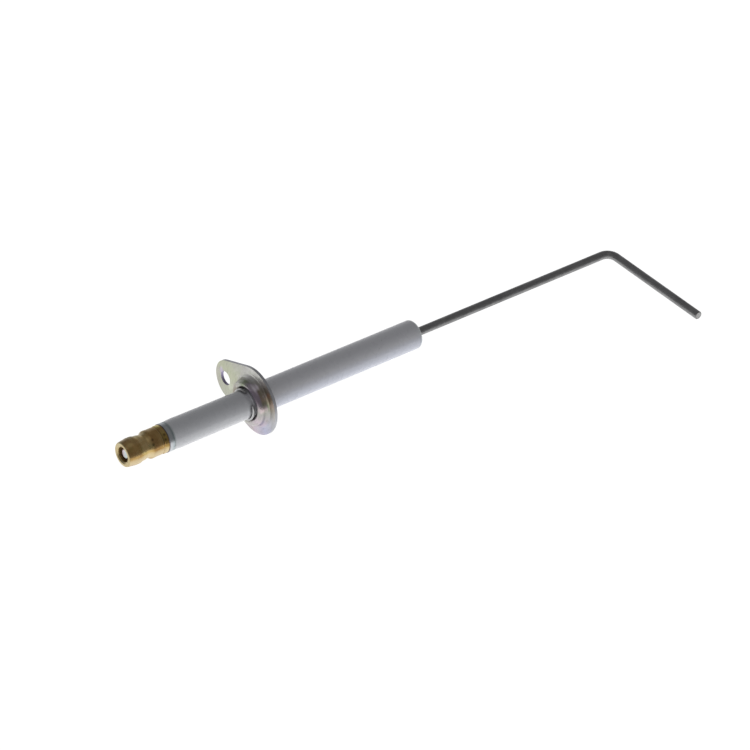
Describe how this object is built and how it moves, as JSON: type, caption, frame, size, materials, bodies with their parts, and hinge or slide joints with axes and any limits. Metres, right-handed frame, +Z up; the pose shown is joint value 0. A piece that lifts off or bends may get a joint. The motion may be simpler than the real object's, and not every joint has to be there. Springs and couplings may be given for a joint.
{
  "type": "flame sensor probe",
  "caption": "Flame sensing electrode: bent alloy rod through a ceramic insulator, with a brass snap terminal and a drawn steel mounting flange that swivels on the insulator.",
  "frame": {"origin": "on the insulator's axis, in the plane of the flange's seating face", "axes": "+X along the insulator towards the flame end, -Y the way the bent tip points, +Y towards the flange's screw tab, +Z up with the probe lying level"},
  "size_m": [0.1414, 0.046, 0.0164],
  "materials": {
    "ceramic_insulator": "smooth glazed, off-white",
    "sensing_rod": "drawn heat-resisting alloy wire, dark oxide",
    "hot_end_cement": "matte refractory cement",
    "snap_terminal": "turned, lightly tarnished",
    "terminal_washer": "plain steel, satin",
    "mounting_flange": "zinc plated, iridescent yellow passivated",
    "seal_gasket": "matte pressed fibre",
    "retaining_ring": "bright spring steel"
  },
  "bodies": {
    "flange": {"mounting_flange": "mounting_flange"},
    "electrode": {"ceramic_insulator": "ceramic_insulator", "sensing_rod": "sensing_rod", "hot_end_cement": "hot_end_cement", "snap_terminal": "snap_terminal", "terminal_washer": "terminal_washer", "seal_gasket": "seal_gasket", "retaining_ring": "retaining_ring"}
  },
  "joints": [
    {"name": "electrode_swivel", "type": "hinge", "parent": "flange", "child": "electrode", "pos_m": [0, 0, 0], "axis": [1, 0, 0], "continuous": true}
  ]
}
